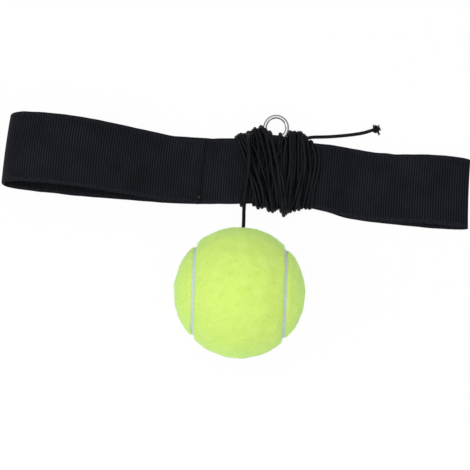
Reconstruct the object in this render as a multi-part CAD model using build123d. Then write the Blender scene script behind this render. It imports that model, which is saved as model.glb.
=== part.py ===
from build123d import *
from math import cos, degrees, pi, radians, sin, sqrt, tan
import os

# Reflex ball headband, laid flat. Millimetres, +Z up, the table top at z = 0.
# +X runs along the band, +Y across it towards the wearer's crown, and the ball lies towards -Y.

# Elastic band
band_width = 38.0            # 1.5 in woven elastic
band_thickness = 1.3
band_length = 250.0          # the loop as it lies, fold to fold
band_centre = (0.4, 36.0)
band_angle = -5.4            # how the band lies on the table, about +Z
loop_height = 22.5           # the open end stands up this far
pinch_lift = 4.0             # the turns of cord under the band lift it this far
pinch_gap = 0.4              # between the two layers where the cord squeezes them
join_edge = -18.6            # where the upper end of the strip stops, along the band
lap_length = 16.0            # and how far the lower end runs on beneath it

# Thread
stitch_length = 2.1
stitch_pitch = 2.9
stitch_width = 0.5
stitch_rows = (2.0, 5.0)     # distances of the two rows from the join's edge
stitch_margin = 2.5          # from the selvedge to the first stitch
tack_width = 1.2

# Steel ring and the tape that holds it
ring_wire = 2.2
ring_outside = 14.0
ring_place = (20.6, 53.0)    # middle of the wire inside the tape's eye
ring_tilt = 8.0              # the cord props the far side of the ring up
ring_down = 8.0              # travel below and above that
ring_up = 12.0
tab_width = 4.5
tab_tape = 0.6
tab_length = 19.0
eye_clearance = 0.3

# Cord
cord_diameter = 1.9
cord_clearance = 0.3
winding_sections = [         # x, lowest y, highest y, height above the table
    (-1.4, 17.6, 55.6, 9.6),
    (4.2, 16.8, 57.6, 11.8),
    (11.5, 14.8, 61.0, 13.4),
    (15.5, 14.5, 61.4, 13.8),
    (20.5, 14.2, 56.3, 14.0),
    (25.5, 10.1, 56.0, 13.8),
    (30.5, 12.8, 58.2, 13.2),
    (36.5, 14.6, 57.2, 12.0),
    (44.0, 15.4, 51.8, 9.6),
]
winding_round = 3.8
tail_route = [
    (36.5, 53.6, 4.4),
    (44.6, 54.9, 2.7),
    (53.4, 55.8, 1.3),
    (62.8, 57.5, 1.0),
    (69.3, 58.3, 1.05),
    (73.6, 59.7, 1.6),
]
knot_place = (76.0, 60.7, 1.95)
knot_bend = 1.45             # radius of the turn that a knot makes in the cord
knot_end = 2.6               # cut end that stands out of a knot

# Cord to the ball
cord_exit = (3.9, 15.5, 9.4)
drop_heading = -93.0         # plan direction from the exit to the ball, about +Z
free_run = 19.9              # cord in the open between the exit and the ball
knot_seat = 0.3              # between the inner knot and the wall that stops it

# Ball
ball_diameter = 66.5
felt_thickness = 3.0
core_wall = 3.5
glue_line = 0.05
seam_width = 2.2
seam_recess = 0.35           # the seam rubber lies this far below the felt
seam_lean = 7.0              # how the seam pattern is turned: towards -Y,
seam_turn = 1.0              # about the vertical,
seam_roll = 2.0              # and clockwise seen from above

# Worked out from the sizes above
ball_radius = ball_diameter / 2
core_radius = ball_radius - felt_thickness
core_inside = core_radius - core_wall
cord_radius = cord_diameter / 2
hole_radius = cord_radius + cord_clearance
band_top = pinch_lift + 2 * band_thickness + pinch_gap
ring_radius = (ring_outside - ring_wire) / 2
wire_bow = ring_radius - sqrt(ring_radius**2 - (tab_width / 2) ** 2)
eye_radius = ring_wire / 2 + wire_bow + eye_clearance
eye_outside = eye_radius + tab_tape
ring_height = band_top + eye_outside
knot_outside = knot_bend + cord_radius

exit_to_centre = free_run + cord_radius + ball_radius
exit_rise = ball_radius - cord_exit[2]
exit_level = sqrt(exit_to_centre**2 - exit_rise**2)
ball_centre = (
    cord_exit[0] + exit_level * cos(radians(drop_heading)),
    cord_exit[1] + exit_level * sin(radians(drop_heading)),
    ball_radius,
)


def band_frame():
    """Band's own frame: x along the band from its middle, y across it, z up."""
    return Location((band_centre[0], band_centre[1], 0), (0, 0, band_angle))


def ring_frame():
    """Where the ring hangs: the middle of its wire in the tape's eye, x along the band."""
    return Location((ring_place[0], ring_place[1], ring_height), (0, 0, band_angle))


def cord_line():
    """Plane at the ball's middle whose z axis points back along the cord to its exit."""
    back = Vector(*cord_exit) - Vector(*ball_centre)
    return Plane(origin=ball_centre, x_dir=(1, 0, 0), z_dir=back.normalized())


def seam_frame():
    """Ball's frame for its seam: z looks out between the two upper lines of the seam."""
    return Location(ball_centre) * Rotation(seam_lean, 0, 0) * Rotation(0, seam_turn, -seam_roll)


def arc_radii(points, closed=False):
    """One radius for each corner of a route, as large as its two runs leave room for."""
    path = [Vector(*p) for p in points]
    corners = range(len(path)) if closed else range(1, len(path) - 1)
    radii = []
    for i in corners:
        run_in = path[i] - path[i - 1]
        run_out = path[(i + 1) % len(path)] - path[i]
        half_turn = radians(run_in.get_angle(run_out)) / 2
        radii.append(0.45 * min(run_in.length, run_out.length) / tan(half_turn))
    return radii


def loop_points():
    """Middle of the elastic, seen from the side: tall at the left, squeezed, then low at the right."""
    half = band_length / 2 - band_thickness / 2
    lie = band_thickness / 2
    low = pinch_lift + lie
    high = band_top - lie
    top = loop_height - lie
    return [
        (-half + 2.0, lie),
        (-26, lie),
        (-8, low),
        (49, low),
        (66, lie),
        (half, lie),
        (half, lie + 4.6),
        (103, lie + 5.0),
        (80, lie + 2.2),
        (62, lie + 3.0),
        (49, high),
        (-8, high),
        (-34, high + 0.7),
        (-56, 0.55 * top),
        (-78, 0.91 * top),
        (-97, 1.03 * top),
        (-half + 6.5, 0.90 * top),
        (-half - 0.6, 0.52 * top),
    ]


def upper_layer(x):
    """Height of the upper face where the join lies, on the run that climbs from the winding."""
    (x_far, z_far), (x_near, z_near) = loop_points()[12], loop_points()[11]
    share = (x - x_near) / (x_far - x_near)
    return z_near + share * (z_far - z_near) + band_thickness / 2


def elastic_band():
    """One strip of woven elastic closed into a loop, one end lapped over the other."""
    points = loop_points()
    face = make_face(FilletPolyline(*points, radius=arc_radii(points, closed=True), close=True))
    wall = offset(face, amount=band_thickness / 2) - offset(face, amount=-band_thickness / 2)
    above = (join_edge - lap_length / 2, loop_height)
    over = wall & Pos(*above) * Rectangle(lap_length, 2 * (loop_height - pinch_lift - band_thickness))
    section = wall + Pos(0, -band_thickness) * over
    return band_frame() * extrude(Plane.XZ * section, amount=band_width / 2, both=True)


def join_stitching():
    """Two rows of lock stitch across the band that hold the lap."""
    count = int((band_width - 2 * stitch_margin) / stitch_pitch)
    stitch = Rot(90, 0, 0) * Cylinder(stitch_width / 2, stitch_length)
    rows = []
    for row in stitch_rows:
        x = join_edge - row
        seats = [(x, (i - (count - 1) / 2) * stitch_pitch, upper_layer(x)) for i in range(count)]
        rows += [Pos(*seat) * stitch for seat in seats]
    return band_frame() * Compound(rows)


def ring_tab():
    """Narrow tape folded round the ring's wire and sewn flat on the band's outer face."""
    stack = 2 * tab_tape
    foot = -eye_outside
    behind = eye_outside + 3 * tab_tape
    slope = Polygon(
        (0, foot), (-behind, foot), (-behind, foot + stack), (0, eye_outside), align=None
    )
    flat = Pos(-tab_length / 2, foot + stack / 2) * Rectangle(tab_length, stack)
    side = Circle(eye_outside) + slope + flat - Circle(eye_radius)
    return ring_frame() * extrude(Plane.YZ * side, amount=tab_width / 2, both=True)


def tab_stitching():
    """Two bar tacks through the tape and the band: behind the ring and at the tape's end."""
    top = 2 * tab_tape - eye_outside
    near = -(eye_outside + 3 * tab_tape + tack_width)
    far = -(tab_length - tack_width)
    tack = Box(tab_width - 2 * stitch_width, tack_width, stitch_width)
    return ring_frame() * Compound([Pos(0, y, top) * tack for y in (near, far)])


def steel_ring():
    """Round wire bent to a ring and welded; it tips about the middle of its wire in the eye."""
    ring = Pos(0, ring_radius, 0) * Torus(ring_radius, ring_wire / 2)
    return ring_frame() * Rot(ring_tilt, 0, 0) * ring


def ring_pocket():
    """Room in the winding for the tape and for the ring as far as it tips."""
    room = cord_clearance
    wide = tab_width + 2 * room
    deep = tab_length + eye_outside + 2 * room
    high = 2 * eye_outside + 2 * room
    tape = Pos(0, (eye_outside - tab_length) / 2, 0) * Box(wide, deep, high)
    half = ring_wire / 2 + room
    reach = ring_outside + half
    low = -half + reach * tan(radians(ring_tilt - ring_down))
    top = half + reach * tan(radians(ring_tilt + ring_up))
    swing = Polygon((-half, -half), (reach, low), (reach, top), (-half, half), align=None)
    return tape + extrude(Plane.YZ * swing, amount=ring_outside / 2 + room, both=True)


def cord_winding():
    """All the turns of cord round the squeezed band, as one solid with a passage for the band."""
    sections = []
    for x, y_low, y_high, height in winding_sections:
        plane = Plane(origin=(x, (y_low + y_high) / 2, height / 2), x_dir=(0, 1, 0), z_dir=(1, 0, 0))
        sections.append(plane * RectangleRounded(y_high - y_low, height, winding_round))
    high = band_top - pinch_lift + 2 * cord_clearance
    passage = Box(band_length, band_width + 2 * cord_clearance, high)
    middle = Pos(0, 0, (band_top + pinch_lift) / 2)
    return loft(sections, ruled=True) - band_frame() * middle * passage - ring_frame() * ring_pocket()


def cord_tube(points):
    """Round cord along a route of runs and tangent arcs; prints its radii and checks its volume."""
    radii = arc_radii(points)
    route = FilletPolyline(*points, radius=radii)
    start = Plane(origin=route @ 0, z_dir=route % 0)
    tube = sweep(start * Circle(cord_radius), path=route)
    print("cord arc radii", [round(r, 1) for r in radii], "length", round(route.length, 1))
    print("tube volume over section times length", round(tube.volume / (pi * cord_radius**2 * route.length), 4))
    return tube


def cord_tail():
    """Free end of the cord, from under the winding's right side to its knot."""
    return cord_tube(tail_route)


def overhand_knot():
    """Overhand knot pulled tight: a turn of the cord with one cut end standing out."""
    turn = Torus(knot_bend, cord_radius) + Sphere(cord_radius)
    end = Pos(0, knot_bend, knot_end / 2) * Cylinder(0.9 * cord_radius, knot_end)
    return turn + end


def tail_knot():
    return Pos(*knot_place) * Rot(35, 20, -40) * overhand_knot()


def cord_bend():
    """The cord's bend at its exit, where it swings."""
    return Pos(*cord_exit) * Sphere(cord_radius)


def cord_drop():
    """Straight cord from the bend through the ball's wall to the knot inside."""
    inner = core_inside - knot_seat - cord_diameter
    outer = ball_radius + free_run
    return cord_line().location * Pos(0, 0, (inner + outer) / 2) * Cylinder(cord_radius, outer - inner)


def stopper_knot():
    """Knot inside the ball, too large for the hole in the wall."""
    seat = core_inside - knot_seat - knot_outside**2 / (2 * core_inside) - cord_radius
    turn = Torus(knot_bend, cord_radius) - Cylinder(cord_radius, knot_bend)
    end = Pos(knot_bend, 0, -knot_end / 2) * Cylinder(cord_radius, knot_end)
    return cord_line().location * Pos(0, 0, seat) * (turn + end)


def shell_section(inside, outside, start, stop):
    """Part of a ring between two radii and two angles, in degrees."""
    swept = stop - start
    edges = [
        CenterArc((0, 0), outside, start, swept),
        CenterArc((0, 0), inside, start, swept),
    ]
    edges += [Line(edges[0] @ end, edges[1] @ end) for end in (0, 1)]
    return make_face(edges)


def core_half(start, stop):
    """Moulded rubber half shell, revolved about the cord's line through the ball."""
    section = Plane.XZ * shell_section(core_inside, core_radius, start, stop)
    shell = revolve(section, axis=Axis.Z)
    hole = Cylinder(hole_radius, ball_radius, align=(Align.CENTER, Align.CENTER, Align.MIN))
    return cord_line().location * (shell - hole)


def seam_strip(inside, outside, width):
    """Strip along the seam, which is four half circles on the ball, joined end to end."""
    half = degrees(width / 2 / ball_radius)
    line = shell_section(inside, outside, 45 - half, 45 + half)
    upper = revolve(line, axis=Axis.X, revolution_arc=180)
    lower = revolve(line, axis=Axis.Y, revolution_arc=180)
    return upper + mirror(upper, Plane.YZ) + lower + mirror(lower, Plane.XZ)


def seam_rubber():
    """Cement that fills the seam between the two felts."""
    return seam_frame() * seam_strip(core_radius + glue_line, ball_radius - seam_recess, seam_width)


def felt(side):
    """One of two equal felts, shaped like a dog's bone; the seam parts them over the whole ball."""
    cover = Sphere(ball_radius) - Sphere(core_radius + glue_line)
    seam = seam_strip(core_inside, ball_radius + glue_line, seam_width + 2 * glue_line)
    panel = (cover - seam).solids().sort_by(Axis.Z)[side]
    hole = Cylinder(hole_radius, 2 * ball_radius, align=(Align.CENTER, Align.CENTER, Align.MIN))
    return seam_frame() * panel - cord_line().location * hole


def felt_upper():
    return felt(-1)


def felt_lower():
    return felt(0)


def core_half_upper():
    return core_half(0, 90)


def core_half_lower():
    return core_half(-90, 0)


parts = [
    elastic_band,
    join_stitching,
    ring_tab,
    tab_stitching,
    steel_ring,
    cord_winding,
    cord_tail,
    tail_knot,
    cord_bend,
    cord_drop,
    stopper_knot,
    core_half_upper,
    core_half_lower,
    felt_upper,
    felt_lower,
    seam_rubber,
]

os.makedirs("parts", exist_ok=True)
for part in parts:
    export_step(part(), f"parts/{part.__name__}.step")
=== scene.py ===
# Reflex ball headband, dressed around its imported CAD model. Metres, +Z up, the table top at z = 0.
# +X runs along the band, +Y across it towards the wearer's crown, and the ball lies towards -Y.
import bpy
import numpy as np
from math import cos, pi, radians, sin, tau
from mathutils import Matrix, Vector, noise


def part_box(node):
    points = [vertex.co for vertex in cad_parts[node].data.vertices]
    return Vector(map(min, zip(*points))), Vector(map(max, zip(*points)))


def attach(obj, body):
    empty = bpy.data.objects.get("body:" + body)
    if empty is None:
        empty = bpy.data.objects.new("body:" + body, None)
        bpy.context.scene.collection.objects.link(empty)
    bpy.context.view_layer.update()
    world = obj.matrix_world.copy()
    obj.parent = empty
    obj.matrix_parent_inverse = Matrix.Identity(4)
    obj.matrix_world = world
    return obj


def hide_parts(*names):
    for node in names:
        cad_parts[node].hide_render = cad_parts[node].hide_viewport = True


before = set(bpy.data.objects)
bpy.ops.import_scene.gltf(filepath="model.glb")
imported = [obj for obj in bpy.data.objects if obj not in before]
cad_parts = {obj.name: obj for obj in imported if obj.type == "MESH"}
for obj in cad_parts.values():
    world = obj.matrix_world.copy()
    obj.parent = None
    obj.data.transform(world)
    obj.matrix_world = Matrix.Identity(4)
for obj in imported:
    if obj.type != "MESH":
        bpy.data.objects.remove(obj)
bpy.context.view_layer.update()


# ---- Table, light and camera ----
# A white laminate table under a large soft box, with a second low on the left that rakes across the
# elastic's ribs and a weak third on the right. The camera looks down from the ball's side, ten
# degrees off upright.

mm = 0.001                              # metres in a millimetre
table_half = 4.0
table_gap = 0.02 * mm                   # kept free under whatever lies on the table


def linear(code):
    """Linear colour from an sRGB hex code."""
    shares = [int(code[i:i + 2], 16) / 255 for i in (1, 3, 5)]
    return [s / 12.92 if s < 0.04045 else ((s + 0.055) / 1.055) ** 2.4 for s in shares] + [1.0]


def new_material(name):
    """A named material with its node tree and its shader."""
    material = bpy.data.materials.new(name)
    material.use_nodes = True
    return material, material.node_tree, material.node_tree.nodes["Principled BSDF"]


def feed(node, inputs):
    """Sets a node's inputs, each to a value, to the output that feeds it or to a node's first output."""
    for key, value in inputs.items():
        if isinstance(value, bpy.types.Node):
            value = value.outputs[0]
        if isinstance(value, bpy.types.NodeSocket):
            node.id_data.links.new(value, node.inputs[key])
        else:
            node.inputs[key].default_value = value


def add(tree, kind, inputs=None, stops=(), **settings):
    """Adds a node with its settings and inputs; stops are a ramp's places and hex colours."""
    made = tree.nodes.new("ShaderNode" + kind)
    for key, value in settings.items():
        setattr(made, key, value)
    for k, (place, code) in enumerate(stops):
        made.color_ramp.elements[k].position = place
        made.color_ramp.elements[k].color = linear(code)
    feed(made, inputs or {})
    return made


def mesh_piece(name, corners, faces, material):
    """A mesh object in the scene; corners are in metres."""
    mesh = bpy.data.meshes.new(name)
    mesh.from_pydata([tuple(c) for c in corners], [], [tuple(f) for f in faces])
    mesh.materials.append(material)
    mesh.shade_smooth()
    piece = bpy.data.objects.new(name, mesh)
    bpy.context.collection.objects.link(piece)
    return piece


def white_table():
    """Matt white laminate: shows as plain white, with only a trace of the shadow."""
    material, tree, shader = new_material("white_laminate_table")
    feed(shader, {"Base Color": linear("#F2F2F2"), "Roughness": 0.8})
    rays = add(tree, "LightPath")
    seen = add(tree, "Math",
               {0: rays.outputs["Is Camera Ray"], 1: rays.outputs["Is Glossy Ray"]}, operation="MAXIMUM")
    share = add(tree, "Math", {0: seen, 1: 0.95}, operation="MULTIPLY")
    glow = add(tree, "Emission", {"Color": (1, 1, 1, 1), "Strength": 1.0})
    mix = add(tree, "MixShader", {0: share, 1: shader, 2: glow})
    feed(tree.nodes["Material Output"], {"Surface": mix})
    return material


table_corners = [(x * table_half, y * table_half, -table_gap)
                 for x, y in ((-1, -1), (1, -1), (1, 1), (-1, 1))]
table = mesh_piece("table", table_corners, [(0, 1, 2, 3)], white_table())

# A white room: its walls give the object less light than its ceiling does, and the camera sees white
world = bpy.data.worlds.new("studio")
bpy.context.scene.world = world
world.use_nodes = True
room = world.node_tree
rays = add(room, "LightPath")
seen = add(room, "Math",
           {0: rays.outputs["Is Camera Ray"], 1: rays.outputs["Is Transmission Ray"]}, operation="MAXIMUM")
way = add(room, "TexCoord")
height = add(room, "SeparateXYZ", {0: way.outputs["Generated"]})
walls = add(room, "MapRange", {"Value": height.outputs[2], "From Min": 0.0, "From Max": 0.6,
                               "To Min": 0.08, "To Max": 0.70})
level = add(room, "MapRange", {"Value": seen, "To Min": walls, "To Max": 1.0})
feed(room.nodes["Background"], {"Color": (1, 1, 1, 1), "Strength": level})


def soft_box(name, place, width, height, watts):
    """A rectangular studio lamp that faces the middle of the table."""
    lamp = bpy.data.lights.new(name, "AREA")
    lamp.shape = "RECTANGLE"
    lamp.size, lamp.size_y, lamp.energy = width, height, watts
    box = bpy.data.objects.new(name, lamp)
    bpy.context.collection.objects.link(box)
    box.location = place
    box.rotation_euler = (-Vector(place)).to_track_quat("-Z", "Y").to_euler()


soft_box("soft_box_above", (-0.25, -0.20, 1.3), width=1.3, height=1.3, watts=9.6)
soft_box("soft_box_left", (-1.2, -0.25, 0.7), width=0.5, height=0.9, watts=2.6)
soft_box("soft_box_right", (0.9, -0.9, 0.6), width=0.9, height=0.6, watts=1.7)

view_distance = 0.630
view_lean = radians(10)
view_centre = (-0.9 * mm, 2.2 * mm)     # where the view's middle meets the table top
view_span = 252.11 * mm                 # what the view takes in there, from side to side
lens = bpy.data.cameras.new("camera")
lens.sensor_width = 36
lens.lens = lens.sensor_width * view_distance / view_span
lens.clip_start, lens.clip_end = 0.01, 20
camera = bpy.data.objects.new("camera", lens)
bpy.context.collection.objects.link(camera)
camera.location = (view_centre[0], view_centre[1] - view_distance * sin(view_lean),
                   view_distance * cos(view_lean))
camera.rotation_euler = (view_lean, 0, 0)
bpy.context.scene.camera = camera
bpy.context.scene.view_settings.view_transform = "Standard"


# ---- Elastic cord ----
# Round elastic, 1.9 mm: rubber strands inside a braided polyester cover. It is wound by hand about
# the middle of the band, over the ring's foot, and the last turn leaves the winding for the ball.

cord_diameter = 1.9 * mm
cord_radius = cord_diameter / 2
band_middle = np.array([0.4, 36.0]) * mm
band_turn = radians(-5.4)
pinch_low, pinch_top = 4.0 * mm, 7.0 * mm       # the squeezed band's two outer faces
pinch_half = 17.2 * mm                          # half its width there
pinch_start = (-6.8 * mm, 0.15 * mm)            # a place along it and how far it has drifted across
pinch_slant = 0.035                             # its further drift along the band
ring_foot = (18.5 * mm, 18.8 * mm, 9.45 * mm)   # middle of the ring's wire in the tape's eye
ring_radius = 5.9 * mm
ring_lean = 0.14                                # how fast it rises from the band
wire_radius = 1.1 * mm
eye_radius, eye_half = 1.75 * mm, 2.3 * mm      # the tape's eye round the wire, and half its length
front_steps, edge_steps, back_steps = 34, 9, 28     # points on each part of a turn


def from_band(u, v, z):
    """Point in the model's frame from one in the band's frame: along it, across it and up."""
    x = band_middle[0] + u * cos(band_turn) - v * sin(band_turn)
    y = band_middle[1] + u * sin(band_turn) + v * cos(band_turn)
    return np.stack([x, y, z + 0 * u], axis=-1)


# Each turn crosses the front from the upper edge to the lower one. The first five numbers say where
# along the band it is at the upper edge, a quarter down, the middle, three quarters and the lower
# edge; the last two say how far its bights stand off the upper and the lower edge. All in mm.
turns = [
    (40.0, 42.8, 42.9, 41.8, 40.6, -0.6, 0.2),
    (37.8, 41.0, 40.8, 39.8, 38.4, 0.2, 0.2),
    (35.4, 37.6, 38.9, 38.1, 36.2, 2.6, 0.2),
    (32.4, 33.2, 33.6, 33.5, 33.2, 3.6, 0.2),
    (30.9, 31.6, 32.4, 33.4, 34.4, 4.6, 0.2),
    (33.9, 34.5, 34.2, 33.0, 31.0, 3.2, 0.8),
    (33.0, 35.2, 35.7, 34.5, 32.7, 3.6, 1.2),
    (29.1, 30.1, 30.4, 30.4, 30.2, 4.8, 1.8),
    (27.7, 28.8, 29.2, 29.2, 29.0, 4.6, 1.4),
    (24.6, 25.2, 25.8, 26.2, 26.4, 1.5, -0.2),
    (23.6, 24.2, 24.6, 24.8, 24.9, 0.8, -0.2),
    (22.0, 22.6, 23.0, 23.2, 23.2, 0.4, -0.4),
    (20.7, 21.0, 21.2, 21.3, 21.4, 0.2, -0.4),
    (18.0, 18.8, 19.2, 19.4, 19.6, -0.8, -0.6),
    (26.4, 27.3, 27.5, 27.3, 27.8, 4.0, 0.2),
    (13.8, 17.0, 19.9, 22.6, 24.9, 3.2, 1.6),
    (15.0, 19.8, 23.0, 25.6, 27.4, 2.2, 0.0),
    (15.9, 18.9, 21.3, 23.9, 26.0, 2.4, 0.5),
    (10.2, 10.5, 10.8, 11.5, 12.0, 4.8, 0.4),
    (12.8, 16.4, 19.0, 21.4, 23.0, 4.2, 0.7),
    (10.3, 13.6, 15.9, 18.2, 21.4, 4.6, -0.3),
    (6.8, 7.3, 7.9, 8.9, 10.4, 4.4, 0.0),
    (8.8, 10.5, 11.3, 14.2, 19.2, 4.8, 0.2),
    (3.2, 9.2, 13.0, 17.0, 20.0, 2.0, -0.4),
    (1.2, 6.3, 9.9, 13.6, 17.6, 2.0, 0.0),
    (-0.6, 4.5, 9.3, 13.6, 16.4, 0.8, 0.0),
    (-2.2, 2.2, 6.4, 11.3, 14.2, -0.6, 0.0),
    (4.9, 5.4, 6.2, 9.0, 12.5, 3.4, 0.0),
    (3.6, 4.9, 5.0, 4.4, 3.9, 2.6, 0.8),
    (4.4, 5.3, 6.0, 5.6, 5.0, 2.8, 0.4),
]
# The free end's route, in mm: from its knot over the table to the band (x, y, z), and then, in the
# band's frame, between the table and the band and up behind its upper edge to the first turn.
tail_points = [(75.8, 60.2, 1.95), (73.2, 59.6, 1.6), (70.0, 58.6, 1.05), (65.5, 57.7, 1.0),
               (58.0, 56.8, 1.0), (50.7, 56.1, 1.5), (45.2, 55.7, 2.4), (40.8, 55.4, 3.4),
               (36.8, 55.0, 4.3), (33.2, 54.4, 4.6), (31.6, 51.5, 4.0)]
tuck_points = [(31.2, 14.5, 3.1), (32.8, 8.0, 3.1), (35.2, 3.5, 3.1), (37.0, 1.8, 3.1), (38.8, 3.5, 3.1),
               (39.6, 8.0, 3.1), (39.8, 14.0, 3.1), (39.8, 17.6, 3.4), (39.7, 19.2, 4.4), (39.6, 19.6, 5.6),
               (39.6, 19.2, 6.8), (39.6, 18.2, 7.7)]
cord_exit = np.array([3.9, 15.5, 9.4]) * mm     # where the winding ends and the cord sets off
to_ball = np.array([-0.047, -0.8965, 0.4405])   # its way there


def pinch_centre(u):
    """How far the squeezed band's middle has drifted across at this place along it."""
    return pinch_start[1] + pinch_slant * (u - pinch_start[0])


def eased(values, width):
    """Running mean of a line of numbers, weighted towards the middle."""
    reach = int(3 * width)
    weights = np.exp(-0.5 * (np.arange(-reach, reach + 1) / width) ** 2)
    padded = np.pad(values, reach, mode="edge")
    return np.convolve(padded, weights / weights.sum(), mode="valid")


def bow(start, stop, slope_in, slope_out, length, t):
    """Cubic that leaves start and reaches stop with the given slopes."""
    return ((2 * t**3 - 3 * t**2 + 1) * start + (t**3 - 2 * t**2 + t) * length * slope_in
            + (3 * t**2 - 2 * t**3) * stop + (t**3 - t**2) * length * slope_out)


def unit(ways):
    """The same directions with a length of one."""
    return ways / np.linalg.norm(ways, axis=1)[:, None]


def front_line(turn, v):
    """Where a turn is along the band, for each place across the front and a little beyond its edges."""
    heights = np.array([25.0, 19.0, 9.5, 0.0, -9.5, -19.0, -25.0])
    over, under = 0.62, 0.55            # how much of its slant a turn keeps beyond the two edges
    u = np.array(turn[:5])
    u = np.concatenate([[u[0] + over * (u[0] - u[1])], u, [u[4] + under * (u[4] - u[3])]])
    bends = np.gradient(u, heights)
    found = []
    for place in np.clip(np.atleast_1d(v) / mm, heights[-1], heights[0]):
        k = int(np.clip(np.searchsorted(-heights, -place) - 1, 0, len(heights) - 2))
        t = (heights[k] - place) / (heights[k] - heights[k + 1])
        found.append(bow(u[k], u[k + 1], -bends[k], -bends[k + 1], heights[k] - heights[k + 1], t))
    return np.array(found) * mm


def turn_base(turn, following):
    """One turn round the band's section, tight on it: points in the band's frame and outward directions.

    It goes down the front, round the lower edge, up the back and round the upper edge to the next turn.
    """
    core = (pinch_top - pinch_low) / 2
    level = (pinch_top + pinch_low) / 2
    flat = pinch_half - core
    upper, lower = flat + turn[5] * mm, flat + turn[6] * mm
    next_upper = flat + following[5] * mm
    down = np.linspace(upper, -lower, front_steps, endpoint=False)
    u_down = front_line(turn, down)
    slope_out = (u_down[-1] - u_down[-4]) / (down[-4] - down[-1])
    near = 3 * mm                       # the next turn's slant is taken over this much of its start
    next_u = front_line(following, np.array([next_upper, next_upper - near]))
    slope_back = (next_u[1] - next_u[0]) / near
    edge = np.linspace(0, pi, edge_steps, endpoint=False)
    up = np.linspace(-lower, next_upper, back_steps, endpoint=False)
    rounds = pi * (core + cord_radius)
    length = 2 * rounds + lower + next_upper
    along = np.concatenate([rounds * edge / pi, rounds + up + lower, length - rounds + rounds * edge / pi])
    u_rest = bow(u_down[-1], next_u[0], slope_out, slope_back, length, along / length)
    v = np.concatenate([down, -lower - core * np.sin(edge), up, next_upper + core * np.sin(edge)])
    z = np.concatenate([0 * down + core, core * np.cos(edge), 0 * up - core, -core * np.cos(edge)])
    out_v = np.concatenate([0 * down, -np.sin(edge), 0 * up, np.sin(edge)])
    out_z = np.concatenate([0 * down + 1, np.cos(edge), 0 * up - 1, -np.cos(edge)])
    out_u = np.concatenate([0 * down, slope_out * np.sin(edge), 0 * up, -slope_back * np.sin(edge)])
    u = np.concatenate([u_down, u_rest])
    v = v + pinch_centre(turn[2] * mm) + pinch_slant * (u - turn[2] * mm)
    return np.stack([u, v, level + z], axis=1), unit(np.stack([out_u, out_v, out_z], axis=1))


def lift_needed(points, outward, pile, reach):
    """How far each point has to move outward to lie clear of the points laid before it."""
    offset = pile[None] - points[:, None]
    ahead = (offset * outward[:, None]).sum(-1)
    aside = (offset**2).sum(-1) - ahead**2
    room = reach[None] ** 2 - aside
    need = np.where(room > 0, ahead + np.sqrt(np.maximum(room, 0)), 0)
    return need.max(axis=1)


def ring_obstacles():
    """Points of the ring's foot and of the tape's eye, with how near the cord's middle may come."""
    swing = np.radians(np.arange(-75, 26, 5))       # the part of the ring that the turns can touch
    wire = np.stack([ring_foot[0] + ring_radius * np.sin(swing),
                     ring_foot[1] + ring_radius * (1 - np.cos(swing)),
                     ring_foot[2] + ring_lean * ring_radius * (1 - np.cos(swing))], axis=1)
    eye = np.array([(ring_foot[0] + x, *ring_foot[1:]) for x in np.linspace(-eye_half, eye_half, 7)])
    near = np.concatenate([np.full(len(wire), wire_radius), np.full(len(eye), eye_radius)])
    return np.concatenate([wire, eye]), near + cord_radius


def lay_turns():
    """Lays the turns one after another, each on top of those before it, a little unevenly."""
    wander = 0.7 * mm                   # of the winder's hand
    carried = 12                        # points over which a turn takes on the height of the one before
    bitten = 0.25 * mm                  # how far a turn may press into those below
    spacing = 0.8 * cord_diameter       # between two turns' middles: the cord squashes a little
    open_end = 6                        # a turn's last points, which run on into the next one
    chance = np.random.default_rng(11)
    pile, reach = ring_obstacles()
    laid = []
    lift_before = np.full(carried, cord_radius)
    for turn, following in zip(turns, [*turns[1:], turns[-1]]):
        points, outward = turn_base(turn, following)
        points[:, 0] += eased(chance.normal(0, wander, len(points)), 5)
        need = np.maximum(lift_needed(points, outward, pile, reach), cord_radius)
        wide = np.array([need[max(0, i - 1):i + 2].max() for i in range(len(need))])
        lift = np.concatenate([lift_before, wide, np.repeat(wide[-1], carried)])
        lift = np.maximum(eased(lift, 2.2)[carried:-carried], need - bitten)
        placed = points + outward * lift[:, None]
        placed[:, 2] = np.maximum(placed[:, 2], cord_radius + table_gap)
        lift_before = lift[-carried:]
        laid.append(placed)
        pile = np.concatenate([pile, placed[:-open_end]])
        reach = np.concatenate([reach, np.full(len(placed) - open_end, spacing)])
    return laid


def relaxed(points):
    """Takes the kinks out of a cord's line: where it turns sharply, it moves towards its neighbours."""
    points = np.array(points)
    passes, sharpest, give = 14, radians(27), 0.4
    for _ in range(passes):
        ahead = unit(np.diff(points, axis=0))
        sharp = (ahead[1:] * ahead[:-1]).sum(axis=1) < cos(sharpest)
        middle = (points[2:] + points[:-2]) / 2
        points[1:-1][sharp] += give * (middle - points[1:-1])[sharp]
    return points


def line_of(points):
    """Points along the smooth line that has these control points."""
    data = bpy.data.curves.new("route", "CURVE")
    data.dimensions = "3D"
    data.resolution_u = 3
    spline = data.splines.new("NURBS")
    spline.points.add(len(points) - 1)
    for knot, place in zip(spline.points, points):
        knot.co = (*place, 1.0)
    spline.order_u = 3
    spline.use_endpoint_u = True
    route = bpy.data.objects.new("route", data)
    bpy.context.collection.objects.link(route)
    mesh = bpy.data.meshes.new_from_object(route)
    line = np.array([tuple(vertex.co) for vertex in mesh.vertices])
    bpy.data.objects.remove(route)
    bpy.data.meshes.remove(mesh)
    return line


def distance_along(line):
    """How far each point of a line is from its start, along it."""
    return np.concatenate([[0], np.cumsum(np.linalg.norm(np.diff(line, axis=0), axis=1))])


def squares_of(rows, columns):
    """Row and column of the four corners of every square in a net of points."""
    row, column = np.meshgrid(np.arange(rows - 1), np.arange(columns), indexing="ij")
    return row.reshape(-1, 1) + [0, 0, 1, 1], column.reshape(-1, 1) + [0, 1, 1, 0]


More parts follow.
